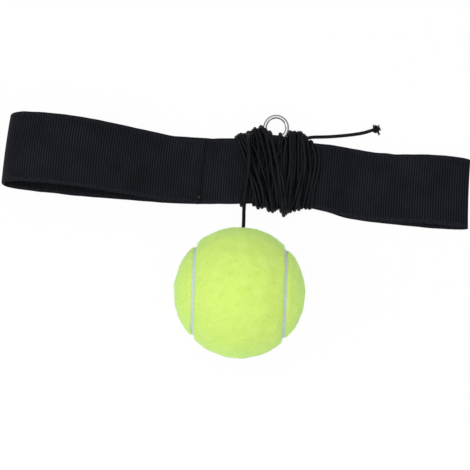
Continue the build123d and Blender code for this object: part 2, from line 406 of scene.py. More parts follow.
def set_marks(piece, marks):
    """Gives a mesh its texture coordinates, one for each corner of each face."""
    layer = piece.data.uv_layers.new(name="UVMap")
    layer.data.foreach_set("uv", np.array(marks, dtype=np.float32).ravel())


def round_tube(name, line, radius, material, sides=12):
    """A round cord along a line, with its unrolled surface in millimetres as texture coordinates."""
    forward = unit(np.gradient(line, axis=0))
    side = np.cross(forward[0], (0.0, 0.0, 1.0))
    side /= np.linalg.norm(side)
    outs = []
    for ahead in forward:
        side = side - ahead * (side @ ahead)
        side /= np.linalg.norm(side)
        outs.append(side)
    outs = np.array(outs)
    ups = np.cross(forward, outs)
    swing = np.linspace(0, tau, sides, endpoint=False)
    ring = outs[:, None] * np.cos(swing)[None, :, None] + ups[:, None] * np.sin(swing)[None, :, None]
    bulge = 0.35 * radius               # of its two ends
    corners = [*(line[:, None] + ring * radius).reshape(-1, 3), line[0] - forward[0] * bulge,
               line[-1] + forward[-1] * bulge]
    along = distance_along(line) / mm
    around = np.arange(sides + 1) / sides * tau * radius / mm
    row, column = squares_of(len(line), sides)
    marks = np.stack([around[column], along[row]], axis=-1).reshape(-1, 2)
    first, last = len(corners) - 2, len(corners) - 1
    end = (len(line) - 1) * sides
    caps, cap_marks = [], []
    for j in range(sides):
        k = (j + 1) % sides
        caps += [(k, j, first), (end + j, end + k, last)]
        cap_marks += [(around[j + 1], 0), (around[j], 0), (around[j], -0.3)]
        cap_marks += [(around[j], along[-1]), (around[j + 1], along[-1]), (around[j], along[-1] + 0.3)]
    tube = mesh_piece(name, corners, [*(row * sides + column % sides), *caps], material)
    set_marks(tube, np.concatenate([marks, cap_marks]))
    return tube


def braided_elastic():
    """Round braided elastic: a tight herringbone of polyester yarns, black and slightly shiny."""
    material, tree, shader = new_material("braided_polyester_elastic")
    yarn, yarns_round = 0.42, 8         # mm between yarns along the cord, and their count round it
    patch = 1.111 * mm                  # where the yarn is a little dulled
    mark = add(tree, "UVMap")
    split = add(tree, "SeparateXYZ", {0: mark})
    along = add(tree, "Math", {0: split.outputs[1], 1: tau / (2 * yarn)}, operation="MULTIPLY")
    around = add(tree, "Math",
                 {0: split.outputs[0], 1: yarns_round / (2 * cord_radius / mm)}, operation="MULTIPLY")
    strands = []
    for lay in ("ADD", "SUBTRACT"):     # one set of yarns runs to the left and one to the right
        strand = add(tree, "Math", {0: along, 1: around}, operation=lay)
        strands.append(add(tree, "Math", {0: strand}, operation="SINE"))
    weave = add(tree, "Math", dict(enumerate(strands)), operation="MULTIPLY")
    level = add(tree, "MapRange", {0: weave, "From Min": -1.0, "From Max": 1.0})
    place = add(tree, "TexCoord")
    dust = add(tree, "TexNoise", {"Vector": place.outputs["Object"], "Scale": 1 / patch, "Detail": 3.0})
    # The colour is lighter on the yarns' crests and darker in the crevices between them, as the bump is:
    # that darkening is painted shade; the dust patches are yarn that is a little dulled
    tone = add(tree, "Math", {0: level, 1: dust}, operation="MULTIPLY")
    ramp = add(tree, "ValToRGB", {0: tone}, ((0.1, "#06070A"), (0.7, "#1A1C26")))
    bump = add(tree, "Bump", {"Height": level, "Strength": 0.5, "Distance": 0.12 * mm})
    feed(shader, {"Base Color": ramp, "Normal": bump, "Roughness": 0.5, "Specular IOR Level": 0.12})
    return material


elastic_braid = braided_elastic()
laid = lay_turns()
tail_line = [np.array(place) * mm for place in tail_points]
tuck_line = [from_band(*(np.array(place) * mm)) for place in tuck_points]
turn_line = [from_band(*place) for turn in laid[:-1] for place in turn]
last_front = [from_band(*place) for place in laid[-1][:front_steps - 2:2]]
wound_line = line_of([*relaxed(tail_line + tuck_line + turn_line + last_front), cord_exit,
                      cord_exit + to_ball * 0.6 * mm])
winding = round_tube("elastic_cord_winding", wound_line, cord_radius, elastic_braid)
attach(winding, "headband")
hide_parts("cord_winding", "cord_tail")


# ---- Cord to the ball ----
# The same cord's other end: it runs straight from the last turn into the hole in the ball, where a
# stopper knot holds it behind the rubber wall.

ball_corners = np.array([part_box(node) for node in ("felt_upper", "felt_lower")])
ball_low, ball_high = ball_corners[:, 0].min(axis=0), ball_corners[:, 1].max(axis=0)
ball_middle = (ball_low + ball_high) / 2
ball_radius = (ball_high[0] - ball_low[0]) / 2
to_exit = cord_exit - ball_middle
exit_distance = np.linalg.norm(to_exit)
cord_way = to_exit / exit_distance
inner_end = 23.8 * mm                   # from the ball's middle, inside the stopper knot
drop_points = [ball_middle + cord_way * reach for reach in
               (exit_distance, exit_distance - 3 * mm, 45 * mm, 38 * mm, 31 * mm, inner_end)]
drop_points[2][0] += 0.25 * mm          # it bows a little to the side before it goes in
drop_points[3][0] += 0.20 * mm
drop_line = line_of(drop_points)
drop = round_tube("elastic_cord_drop", drop_line, cord_radius, elastic_braid, sides=16)
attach(drop, "lead")
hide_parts("cord_drop")

# The short bend between winding and lead hinges on its own, a hair thicker than the two that it joins
bend_start = cord_exit + 1.1 * mm * np.array([0.0, 0.5, -0.85])
bend_line = line_of([bend_start, cord_exit, cord_exit + 0.9 * mm * to_ball])
bend = round_tube("cord_bend_braid", bend_line, 1.03 * cord_radius, elastic_braid, sides=16)
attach(bend, "bend")
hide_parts("cord_bend")


def refinish(node, material):
    """Gives a CAD node that stays in the model its material."""
    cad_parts[node].data.materials.clear()
    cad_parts[node].data.materials.append(material)


refinish("stopper_knot", elastic_braid)


# ---- Knot at the cord's free end ----
# An overhand knot pulled tight, which keeps the braid from creeping back over the rubber. Its cut
# end stands out of it and the yarns there have frayed.

knot_middle = np.array([75.7, 60.1, 2.4]) * mm
knot_ring, knot_lobe, knot_cord = 0.95 * mm, 0.62 * mm, 0.68 * mm
knot_lean = radians(24)
stub_radius = 0.66 * mm
stub_points = ((0.2, -0.3, 0.3), (0.5, -0.9, 0.5), (0.8, -1.4, 0.4), (1.2, -1.9, 0.1))
# Each group of loose yarns has a way, a spread and a count; the first leaves the cut end, the others
# the knot. Real filaments are 0.02 mm, too fine to show, so each one here stands for a bundle.
tuft_groups = [((0.5, -1.0, 0.0), 0.40, 26), ((-0.6, 0.9, 0.1), 0.16, 14), ((0.75, 0.75, 0.1), 0.16, 14),
               ((1.0, -0.1, 0.1), 0.16, 10)]
bundle = 0.26 * mm


def knot_line():
    """Closed overhand knot: three crossings, small enough for its cord to touch itself."""
    t = np.linspace(0, 2 * tau, 90)
    ring = knot_ring + knot_lobe * np.cos(1.5 * t)
    flat = np.stack([ring * np.cos(t), ring * np.sin(t), 1.15 * knot_lobe * np.sin(1.5 * t)], axis=1)
    tip = np.array([[1, 0, 0], [0, cos(knot_lean), -sin(knot_lean)], [0, sin(knot_lean), cos(knot_lean)]])
    return flat @ tip.T + knot_middle


def fibre_tufts(name, roots, ways, ups, lengths, stands, thick, material):
    """Short curved fibres in one mesh. Each leaves its root along its way and rises by its stand.

    A fibre is a three-sided spike of two rows of quads and a tip. Each has its own cell of the texture.
    """
    count = len(roots)
    chance = np.random.default_rng(count)
    sides = np.cross(ways, ups)
    curl = chance.normal(0, 0.22, count) * lengths
    places = np.array([0.0, 0.4, 0.75, 1.0])
    line = (roots[:, None] + ways[:, None] * (lengths[:, None] * places)[:, :, None]
            + ups[:, None] * (stands[:, None] * places**0.8)[:, :, None]
            + sides[:, None] * (curl[:, None] * places**2)[:, :, None])
    swing = np.radians([90, 210, 330])
    size = thick / 2 * np.array([1.0, 0.85, 0.6])
    ring = sides[:, None] * np.cos(swing)[None, :, None] + ups[:, None] * np.sin(swing)[None, :, None]
    bodies = line[:, :3, None] + ring[:, None] * size[None, :, None, None]
    corners = np.concatenate([bodies.reshape(count, 9, 3), line[:, 3:]], axis=1).reshape(-1, 3)
    row, column = squares_of(3, 3)
    quads = 3 * row + column % 3
    ends = np.array([(6, 7, 9), (7, 8, 9), (8, 6, 9), (2, 1, 0)])
    start = 10 * np.arange(count)[:, None, None]
    faces = [tuple(face) for part in (quads, ends) for face in (part + start).reshape(-1, part.shape[1])]
    tufts = mesh_piece(name, corners, faces, material)
    cells = int(np.ceil(np.sqrt(count)))
    cell = np.stack([np.arange(count) % cells, np.arange(count) // cells], axis=1)[:, None, None]
    four = np.stack([column, row], axis=-1) / 3
    three = np.array([[(j / 3, 2 / 3), ((j + 1) / 3, 2 / 3), ((j + 0.5) / 3, 0.9)] for j in range(3)]
                     + [[(0, 0.92), (0.3, 0.92), (0.15, 1.0)]])
    set_marks(tufts, np.concatenate([((part * 0.9 + 0.05 + cell) / cells).reshape(-1, 2)
                                     for part in (four, three)]))
    return tufts


def mottled(name, grain, detail, stops, finish, rise=None):
    """A material of two close colours in patches of one grain; rise says how they stand up, if they do."""
    material, tree, shader = new_material(name)
    place = add(tree, "TexCoord")
    patch = add(tree, "TexNoise", {"Vector": place.outputs["Object"], "Scale": 1 / grain, "Detail": detail})
    feed(shader, {"Base Color": add(tree, "ValToRGB", {0: patch}, stops), **finish})
    if rise:
        feed(shader, {"Normal": add(tree, "Bump", {"Height": patch, **rise})})
    return material


knot = round_tube("tail_knot_turns", knot_line(), knot_cord, elastic_braid, sides=14)
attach(knot, "headband")
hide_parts("tail_knot")
stub_line = line_of([knot_middle + np.array(place) * mm for place in stub_points])
stub = round_tube("tail_cut_end", stub_line, stub_radius, elastic_braid, sides=14)
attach(stub, "headband")
# Polyester yarn combed out of the braid: loose filaments, black with a faint shine
yarn_black = mottled("black_polyester_yarn", 1.25 * mm, 2.0, ((0.0, "#060709"), (1.0, "#17181D")),
                     {"Roughness": 0.5, "Specular IOR Level": 0.2})
chance = np.random.default_rng(8)
tuft_way = unit(np.concatenate([chance.normal(way, spread, (count, 3))
                                for way, spread, count in tuft_groups]))
cut, count = tuft_groups[0][2], len(tuft_way)
tuft_root = np.concatenate([np.tile(stub_line[-1], (cut, 1)), knot_middle + 1.5 * mm * tuft_way[cut:]])
tuft_up = unit(np.cross(tuft_way, np.cross(np.array([0.0, 0.0, 1.0]), tuft_way)))
fray = fibre_tufts("tail_fray", tuft_root + chance.normal(0, 0.14, (count, 3)) * mm, tuft_way, tuft_up,
                   chance.uniform(1.0, 1.9, count) * mm, chance.uniform(-0.1, 0.3, count) * mm,
                   bundle, yarn_black)
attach(fray, "headband")


# ---- Elastic band ----
# Woven elastic, 38 mm: ribs of covered rubber run across it every 1.4 mm. One strip is lapped and sewn
# into a loop; folded flat, it stands open at one end and the cord squeezes its middle.

rib_pitch, rib_height, rib_valley = 1.37 * mm, 0.11 * mm, 0.08 * mm
elastic_thickness = 1.3 * mm
selvedge_round, selvedge_wander = 0.35 * mm, 0.07 * mm
join_edge = -18.6 * mm                  # the lapped end's edge, along the band
fold_place = -125 * mm
# The strip from its hidden end, in mm: place along the band, height of its middle, drift, half width
strip = [
    (-34.6, 5.95, -2.2, 17.8), (-27.0, 5.50, -2.2, 17.8), (-21.0, 5.25, -1.9, 17.9),
    (-15.0, 5.65, -1.4, 18.0), (-9.0, 6.20, -0.8, 18.2), (-4.0, 6.35, -0.5, 18.4),
    (3.0, 6.35, -0.1, 18.1), (9.0, 6.35, 0.6, 17.35), (20.0, 6.35, 1.1, 17.2), (38.0, 6.35, 1.7, 17.3),
    (45.0, 6.35, 1.4, 17.8), (51.0, 6.00, 0.6, 18.3), (62.0, 3.75, -0.6, 19.0),
    (80.0, 2.90, -0.9, 18.6), (103.0, 5.65, 0.1, 19.0), (124.4, 5.30, 0.1, 19.0),
    (124.4, 0.66, -1.2, 19.0), (95.0, 0.66, -1.3, 19.0), (70.0, 0.66, -1.2, 18.9),
    (60.0, 1.30, -0.6, 18.8), (50.0, 4.30, 0.6, 18.2), (45.0, 4.65, 1.2, 17.8),
    (38.0, 4.65, 1.6, 17.3), (20.0, 4.65, 1.1, 17.2), (4.0, 4.65, 0.5, 17.3),
    (-5.0, 4.50, -0.2, 17.9), (-16.0, 2.20, -0.8, 18.3), (-28.0, 0.66, -1.0, 18.6),
    (-60.0, 0.66, -1.6, 18.9), (-95.0, 0.66, -1.6, 18.9), (-122.4, 0.66, -1.2, 18.9),
    (-125.0, 11.40, -0.8, 18.9), (-117.8, 19.70, -0.5, 18.9), (-97.0, 22.50, -0.6, 18.8),
    (-78.0, 19.90, -0.8, 18.6), (-56.0, 12.10, -1.3, 18.3), (-44.0, 8.90, -1.8, 18.0),
    (-34.0, 7.30, -2.2, 17.8), (-26.0, 6.90, -2.2, 17.9), (-21.5, 6.70, -1.9, 17.9),
    (-18.6, 6.25, -1.8, 17.9),
]


def eased_line(points, pieces=24):
    """Smooth line through the middles of the runs between its points, in any number of dimensions."""
    points = np.array(points, dtype=float)
    middles = (points[1:] + points[:-1]) / 2
    middles[0], middles[-1] = points[0], points[-1]
    t = np.linspace(0, 1, pieces, endpoint=False)[:, None]
    spans = [(1 - t) ** 2 * a + 2 * t * (1 - t) * p + t**2 * b
             for a, p, b in zip(middles[:-1], points[1:-1], middles[1:])]
    return np.concatenate(spans + [points[-1:]])


def soft_noise(count, step, wave, size, seed):
    """A smooth random line: values every step, with bumps about wave long and size high."""
    rough = np.random.default_rng(seed).normal(0, 1, count)
    smooth = eased(rough, max(wave / step / 4, 1.0))
    return size * smooth / smooth.std()


def woven_strip(name, threads, marks, material, flipped=False):
    """A closed strip from the lines of points along it, one round its section after another.

    Each line has texture coordinates in millimetres. Flipped, its faces look the other way.
    """
    ring, count = len(threads), len(threads[0])
    corners, marks = (np.stack(part, axis=1).reshape(-1, part[0].shape[1]) for part in (threads, marks))
    row, column = squares_of(count, ring)
    squares = row * ring + column % ring
    ends = [range(ring)[::-1], range((count - 1) * ring, count * ring)]
    if not flipped:
        squares, ends = squares[:, [0, 3, 2, 1]], [end[::-1] for end in ends]
    piece = mesh_piece(name, corners, [*squares, *ends], material)
    used = np.zeros(len(piece.data.loops), dtype=np.int64)
    piece.data.loops.foreach_get("vertex_index", used)
    set_marks(piece, marks[used])
    return piece


def band_threads():
    """The lines along the band, with its ribs: points and texture coordinates."""
    line = eased_line(strip) * mm
    place = distance_along(line[:, :2])
    step = rib_pitch / 5
    at = np.arange(0, place[-1], step)
    u, z, drift, half = (np.interp(at, place, line[:, k]) for k in range(4))
    count = len(at)
    u, z = eased(u, 3), eased(z, 3)
    unpinched = np.abs(u - 20 * mm) > 30 * mm
    z = z + soft_noise(count, step, wave=26 * mm, size=0.10 * mm, seed=3) * unpinched
    z = np.maximum(z, elastic_thickness / 2 + table_gap)
    # The join's rows of thread flatten the ribs, and the fold stretches them
    flat = np.exp(-((at - place[-1] + 3 * mm) / (5 * mm)) ** 2)
    flat += 0.6 * np.exp(-((u - fold_place) / (6 * mm)) ** 2)
    drift = eased(drift, 20) + soft_noise(count, step, wave=30 * mm, size=0.10 * mm, seed=4)
    half = eased(half, 20) - selvedge_round
    ahead = unit(np.stack([np.gradient(u), np.gradient(z)], axis=1))
    out_u, out_z = ahead[:, 1], -ahead[:, 0]       # away from the inside of the loop
    rib = (np.abs(np.cos(pi * at / rib_pitch)) ** 0.7 - 0.6) * (1 - 0.6 * flat)     # broad, tight valleys
    columns = np.linspace(-1, 1, 21)
    edge = np.radians([45, 0, -45])
    across = np.concatenate([columns, 1 + 0 * edge, -columns, -1 + 0 * edge])
    bulge = np.concatenate([0 * columns, np.cos(edge), 0 * columns, -np.cos(edge)])
    face = np.concatenate([0 * columns + 1, np.sin(edge), 0 * columns - 1, -np.sin(edge)])
    threads, marks = [], []
    for k in range(len(across)):
        size = elastic_thickness / 2 - rib_valley + rib_height * rib * (abs(face[k]) > 0.9)
        selvedge = selvedge_round * bulge[k] + 0.05 * mm * rib * bulge[k]
        wander = soft_noise(count, step, wave=9 * mm, size=selvedge_wander, seed=20 + (across[k] > 0))
        v = drift + across[k] * half + selvedge + wander * (abs(bulge[k]) > 0.1)
        # The ribs aren't quite square to the strip: they lean, bow, and turn more towards the far fold
        skew = 0.006 * v + 1.1 * v**2 - 0.03 * v * np.clip((u - 80 * mm) / (40 * mm), 0, 1)
        threads.append(from_band(u + out_u * size * face[k] + skew, v, z + out_z * size * face[k]))
        marks.append(np.stack([across[k] * 19 + 0 * at + 60 * (face[k] < 0), at / mm], axis=1))
    return threads, marks


def woven_elastic():
    """Ribbed black elastic: dull polyester yarns wrapped over rubber, a little blue in the light."""
    material, tree, shader = new_material("woven_polyester_elastic")
    yarn = 0.45                         # mm between the lengthwise yarns
    mark = add(tree, "UVMap")
    split = add(tree, "SeparateXYZ", {0: mark})
    # The ribs are in the colour as well as in the mesh: painted shade darkens the grooves between them, and
    # their crests are lighter
    rib = add(tree, "Math", {0: split.outputs[1], 1: tau / (rib_pitch / mm)}, operation="MULTIPLY")
    rib = add(tree, "Math", {0: rib}, operation="COSINE")
    rib = add(tree, "MapRange", {0: rib, "From Min": -1.0, "From Max": 1.0})
    warp = add(tree, "Math", {0: split.outputs[0], 1: tau / yarn}, operation="MULTIPLY")
    warp = add(tree, "Math", {0: warp}, operation="SINE")
    # Flecks 1.1 mm across the strip and 0.2 mm along it, clouds and wear 22 and 11 mm wide
    scale = add(tree, "VectorMath", {0: mark, 1: (0.9, 5.0, 1.0)}, operation="MULTIPLY")
    fleck = add(tree, "TexNoise", {"Vector": scale, "Scale": 1.0, "Detail": 4.0})
    place = add(tree, "TexCoord")
    cloud = add(tree, "TexNoise",
                {"Vector": place.outputs["Object"], "Scale": 1 / (22.22 * mm), "Detail": 3.0})
    worn = add(tree, "TexNoise",
               {"Vector": place.outputs["Object"], "Scale": 1 / (11.11 * mm), "Detail": 2.0})
    worn = add(tree, "MapRange", {0: worn, "From Min": 0.35, "From Max": 0.65,
                                  "To Min": 0.52, "To Max": 0.78})
    # The selvedges have no ribs: there the wound yarn's turns, 0.7 by 0.9 mm, make a mottle
    side = add(tree, "Math", {0: split.outputs[0], 1: 30.0, 2: -30.0}, operation="WRAP")
    side = add(tree, "Math", {0: side}, operation="ABSOLUTE")
    selvedge = add(tree, "MapRange", {0: side, "From Min": 17.0, "From Max": 17.6})
    grain = add(tree, "VectorMath", {0: mark, 1: (1.5, 1.1, 1.0)}, operation="MULTIPLY")
    mottle = add(tree, "TexNoise", {"Vector": grain, "Scale": 1.0, "Detail": 2.0, "Roughness": 0.7})
    mottle = add(tree, "MapRange", {0: mottle, "From Min": 0.40, "From Max": 0.60})
    tone = add(tree, "Math", {0: rib, 1: worn}, operation="MULTIPLY")
    tone = add(tree, "Mix", {0: selvedge, 2: tone, 3: mottle})
    for pattern, share in ((fleck, 0.34), (cloud, 0.16)):
        tone = add(tree, "Math", {0: pattern, 1: share, 2: tone}, operation="MULTIPLY_ADD")
    ramp = add(tree, "ValToRGB", {0: tone}, ((0.22, "#020203"), (1.0, "#1E2028")))
    height = add(tree, "Math", {0: warp, 1: 0.25, 2: fleck}, operation="MULTIPLY_ADD")
    bump = add(tree, "Bump", {"Height": height, "Strength": 0.35, "Distance": 0.08 * mm})
    feed(shader, {"Base Color": ramp, "Normal": bump, "Roughness": 0.7, "Specular IOR Level": 0.08})
    return material


band = woven_strip("woven_elastic_band", *band_threads(), woven_elastic())
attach(band, "headband")
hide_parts("elastic_band")


# ---- Join of the band ----
# The upper end of the strip laps the lower one and two rows of lock stitch, in black polyester thread,
# hold the two together. The cut edge is open, so a few of its yarns have worked loose.

stitch_rows = (join_edge - 2.0 * mm, join_edge - 5.0 * mm)
stitch_pitch, stitch_long = 2.9 * mm, 2.3 * mm
thread_radius = 0.20 * mm
lap_middle = -1.9 * mm                  # the strip's sideways drift at the join
lap_top = 7.3 * mm                      # about how high its upper face lies there
yarn_thick, rubber_thick = 0.12 * mm, 0.16 * mm     # what has worked loose at the cut edge
# A stitch from the side: shares of its length, and heights over the weave in mm
stitch_arch = ((-0.58, -0.35), (-0.42, 0.10), (-0.15, 0.20), (0.15, 0.20), (0.42, 0.10), (0.58, -0.35))


def sewn(name, stitches, radius):
    """One piece of many short threads, each along its own few points."""
    threads = [round_tube(name, line_of(points), radius, yarn_black, sides=8) for points in stitches]
    bpy.ops.object.select_all(action="DESELECT")
    for thread in threads:
        thread.select_set(True)
    bpy.context.view_layer.objects.active = threads[0]
    bpy.ops.object.join()
    return threads[0]


def top_of_band(u, v):
    """Height of the band's upper face at a place in the band's frame."""
    hit, place, _, _ = band.ray_cast(Vector(from_band(u, v, 60 * mm)), Vector((0, 0, -1)))
    return place.z if hit else lap_top


chance = np.random.default_rng(21)
stitches = []
for row in stitch_rows:
    for v in np.arange(-5.5, 6) * stitch_pitch + lap_middle:
        u, lean = row + chance.normal(0, 0.08) * mm, chance.normal(0, 0.06)
        height = top_of_band(u, v)
        stitches.append([from_band(u + lean * t * stitch_long, v + t * stitch_long, height + rise * mm)
                         for t, rise in stitch_arch])
join_thread = sewn("join_stitches", stitches, thread_radius)
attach(join_thread, "headband")
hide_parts("join_stitching")

chance = np.random.default_rng(31)
edge_v = np.concatenate([chance.uniform(-17.5, 17.5, 90), chance.uniform(-17.8, -15.5, 16)])
count = len(edge_v)
edge_root = from_band(np.full(count, join_edge - 0.2 * mm), edge_v * mm + lap_middle,
                      7.0 * mm + chance.uniform(-0.4, 0.3, count) * mm)
edge_way = unit(np.stack([np.ones(count), chance.normal(-0.1, 0.35, count), chance.normal(0, 0.08, count)],
                         axis=1))
edge_fray = fibre_tufts("join_fray", edge_root, edge_way, np.tile((0.0, 0.0, 1.0), (count, 1)),
                        chance.uniform(0.5, 1.5, count) * mm, chance.uniform(-0.3, 0.25, count) * mm,
                        yarn_thick, yarn_black)
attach(edge_fray, "headband")

# The rubber thread inside the elastic, pale with talc and matt, where a cut end has slipped its cover
rubber_thread = mottled("natural_rubber_thread", 0.833 * mm, 2.0, ((0.0, "#77787C"), (1.0, "#A6A7AB")),
                        {"Roughness": 0.7})
count = 9
loose_root = from_band(np.full(count, join_edge - 0.4 * mm), np.linspace(-16.95, -16.45, count) * mm,
                       7.2 * mm)
loose_way = unit(np.stack([chance.normal(0.3, 0.5, count), chance.normal(0.2, 0.5, count),
                           chance.uniform(0.3, 0.9, count)], axis=1))
loose_end = fibre_tufts("loose_rubber_ends", loose_root, loose_way, np.tile((0.0, 0.0, 1.0), (count, 1)),
                        chance.uniform(0.4, 0.9, count) * mm, np.zeros(count), rubber_thick, rubber_thread)
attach(loose_end, "headband")


# ---- Ring and its tape ----
# A welded ring of nickel-plated steel wire. A narrow polyester tape holds it to the upper edge of the
# band, two bar tacks sew it on, and the first turns of cord bind its foot down.

def polished_steel():
    """Nickel-plated steel wire: a bright mirror with faint drawing marks."""
    material, tree, shader = new_material("nickel_plated_steel")
    # Drawing marks are finer than 0.1 mm; these are 0.7 mm, as fine as still shows
    place = add(tree, "TexCoord")
    marks = add(tree, "TexNoise",
                {"Vector": place.outputs["Object"], "Scale": 1 / (0.7143 * mm), "Detail": 4.0})
    rough = add(tree, "MapRange", {0: marks, "To Min": 0.1, "To Max": 0.24})
    bump = add(tree, "Bump", {"Height": marks, "Strength": 0.08, "Distance": 0.05 * mm})
    feed(shader, {"Base Color": linear("#A8A8AB"), "Metallic": 1.0, "Roughness": rough, "Normal": bump})
    return material


refinish("steel_ring", polished_steel())

tape_half, tape_thick = 2.25 * mm, 0.5 * mm
tape_eye = 1.70 * mm                    # from the wire's middle to the middle of the tape
tape_weft, weft_height = 0.8 * mm, 0.05 * mm
tape_lower, tape_upper = 7.28 * mm, 7.86 * mm       # heights of its two layers where they are sewn
tack_places = (5.2 * mm, 17.2 * mm)     # from the ring's foot
tack_pitch, tack_radius, tack_height = 0.42 * mm, 0.17 * mm, 8.06 * mm
tack_thread = ((-0.1, -0.75, -0.25), (-0.08, -0.6, 0.10), (0.0, 0.0, 0.16), (0.08, 0.6, 0.10),
               (0.1, 0.75, -0.25))      # in mm


def tape_path():
    """The tape from the side, seen from the wire's middle: below it, round it and back over itself."""
    lower, upper = tape_lower - ring_foot[2], tape_upper - ring_foot[2]
    swing = np.radians(np.arange(-125, 126, 10))
    round_wire = np.stack([tape_eye * np.cos(swing), tape_eye * np.sin(swing)], axis=1)
    below = [(-19.0 * mm, lower), (-8.0 * mm, lower), (-4.0 * mm, lower), (-2.2 * mm, lower + 0.15 * mm)]
    above = [(-2.6 * mm, 0.75 * mm), (-4.2 * mm, upper + 0.2 * mm), (-8.0 * mm, upper), (-18.2 * mm, upper)]
    return eased_line([*below, *round_wire, *above], pieces=6)


def tape_threads():
    """The lines along the tape, with its cross yarns and two rounded selvedges."""
    path = tape_path()
    place = distance_along(path)
    at = np.arange(0, place[-1], tape_weft / 4)
    out, up = (eased(np.interp(at, place, path[:, k]), 2) for k in (0, 1))
    ahead = unit(np.stack([np.gradient(out), np.gradient(up)], axis=1))
    columns = np.linspace(-1, 1, 9)
    across = np.concatenate([columns, columns[::-1]])
    face = np.repeat([1.0, -1.0], len(columns))
    thin = np.where(np.abs(across) > 0.99, 0.35, 1.0)
    yarn = weft_height * np.cos(tau * at / tape_weft)
    threads, marks = [], []
    for k in range(len(across)):
        size = face[k] * thin[k] * (tape_thick / 2 + yarn)
        threads.append(from_band(ring_foot[0] + across[k] * tape_half + 0 * at,
                                 ring_foot[1] + out + ahead[:, 1] * size,
                                 ring_foot[2] + up - ahead[:, 0] * size))
        marks.append(np.stack([across[k] * tape_half / mm + 6 * (face[k] < 0) + 0 * at, at / mm], axis=1))
    return threads, marks


def woven_tape():
    """Narrow polyester tape in plain weave: dull black, its cross yarns show as fine ridges."""
    material, tree, shader = new_material("woven_polyester_tape")
    mark = add(tree, "UVMap")
    weave = add(tree, "TexChecker", {"Vector": mark, "Scale": 1 / (tape_weft / mm / 2)})
    fuzz = add(tree, "TexNoise", {"Vector": mark, "Scale": 3.0, "Detail": 3.0})    # per mm
    # The weave's raised squares are lighter and its sunk ones darker, as painted shade; the fuzz is the
    # yarn's own uneven tone
    tone = add(tree, "Math", {0: weave.outputs["Fac"], 1: 0.4, 2: fuzz}, operation="MULTIPLY_ADD")
    ramp = add(tree, "ValToRGB", {0: tone}, ((0.3, "#050607"), (1.0, "#202127")))
    bump = add(tree, "Bump", {"Height": tone, "Strength": 0.4, "Distance": 0.08 * mm})
    feed(shader, {"Base Color": ramp, "Normal": bump, "Roughness": 0.75, "Specular IOR Level": 0.1})
    return material


tape = woven_strip("ring_tape", *tape_threads(), woven_tape(), flipped=True)
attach(tape, "headband")
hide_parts("ring_tab")

# Two bar tacks across the tape: close zigzags of thread that sew it to the band
zigzags = [[from_band(ring_foot[0] + k * tack_pitch + x * mm, ring_foot[1] - near + y * mm,
                      tack_height + z * mm) for x, y, z in tack_thread]
           for near in tack_places for k in range(-4, 5)]
tacks = sewn("tape_tacks", zigzags, tack_radius)
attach(tacks, "headband")
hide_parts("tab_stitching")


# ---- Ball ----
# A hollow rubber ball, 66.5 mm, covered with two needle-felt pieces shaped like a dog's bone and brushed
# to a nap. Their edges are dipped in cement, which shows as the pale groove between them.

seam_half, cement_half = 1.3 * mm, 1.9 * mm     # half the groove, and the cement that goes under the felt
seam_place = (7.0, -0.8, -2.0)          # how the seam is turned about x, y and z, in degrees
hole_radius = 1.1 * mm
felt_back, cement_back = 2.6 * mm, 2.8 * mm     # how deep under the ball's face their backs lie
nap_count, nap_thick = 8500, 0.065 * mm


def turned(points):
    """Points of the seam's own frame, turned as the ball lies."""
    a, b, c = (radians(angle) for angle in seam_place)
    about_x = np.array([[1, 0, 0], [0, cos(a), -sin(a)], [0, sin(a), cos(a)]])
    about_y = np.array([[cos(b), 0, sin(b)], [0, 1, 0], [-sin(b), 0, cos(b)]])
    about_z = np.array([[cos(c), -sin(c), 0], [sin(c), cos(c), 0], [0, 0, 1]])
    return points @ (about_x @ about_y @ about_z).T


hole_way = turned(np.eye(3)) @ cord_way     # where the cord goes in, in the seam's own frame


def hole_distance(way):
    """Distance over the ball from the middle of the cord's hole. A way is a unit vector."""
    return ball_radius * np.arccos(np.clip(way @ hole_way, -1, 1))


def seam_distance(way):
    """Distance over the ball from the seam; more than zero on the upper felt."""
    over = np.arccos(np.clip(np.abs(way[:, 0]), 0, 1)) - pi / 4
    under = pi / 4 - np.arccos(np.clip(np.abs(way[:, 1]), 0, 1))
    return np.where(way[:, 2] >= 0, over, under) * ball_radius


def edge_distance(way, side):
    """Distance over the ball from a felt's cut edge, which wanders a little along the seam."""
    x, y, z = (way * ball_radius / mm).T
    wander = 0.20 * np.sin(0.35 * x + 0.4 * z + side) + 0.07 * np.sin(1.4 * y - 0.9 * z + 2 * side)
    return side * seam_distance(way) - seam_half - wander * mm


def edge_slope(way, side, step):
    """The way over the ball that leads straight off from a felt's cut edge, as long as its slope."""
    here = edge_distance(way, side)
    slope = np.stack([(edge_distance(unit(way + step * axis), side) - here) / step
                      for axis in np.eye(3)], axis=1)
    return slope - way * (slope * way).sum(axis=1)[:, None]


def sphere_grid(cells):
    """Unit vectors and squares of a ball made of six equal patches."""
    side = np.tan(np.linspace(-pi / 4, pi / 4, cells + 1))
    a, b = np.meshgrid(side, side, indexing="ij")
    one = np.ones_like(a)
    patches = [(one, a, b), (-one, b, a), (b, one, a), (a, -one, b), (a, b, one), (b, a, -one)]
    points = np.concatenate([np.stack(p, axis=-1).reshape(-1, 3) for p in patches])
    points /= np.linalg.norm(points, axis=1)[:, None]
    keys = np.round(points * 1e6).astype(np.int64)
    _, first, same = np.unique(keys, axis=0, return_index=True, return_inverse=True)
    row, column = squares_of(cells + 1, cells)
    patch = (row * (cells + 1) + column)[:, [0, 3, 2, 1]]
    squares = np.concatenate([patch + k * (cells + 1) ** 2 for k in range(6)])
    return points[first], same.reshape(-1)[squares]


def without_spare(way, squares):
    """The points that the squares use, and the squares renumbered."""
    used, squares = np.unique(squares, return_inverse=True)
    return way[used], squares.reshape(-1, 4)


def rim_of(squares):
    """The open edges of a mesh of squares, in the order that each square has them."""
    edges = np.concatenate([squares[:, [k, (k + 1) % 4]] for k in range(4)])
    keys = {tuple(edge) for edge in edges}
    return [edge for edge in map(tuple, edges) if (edge[1], edge[0]) not in keys]


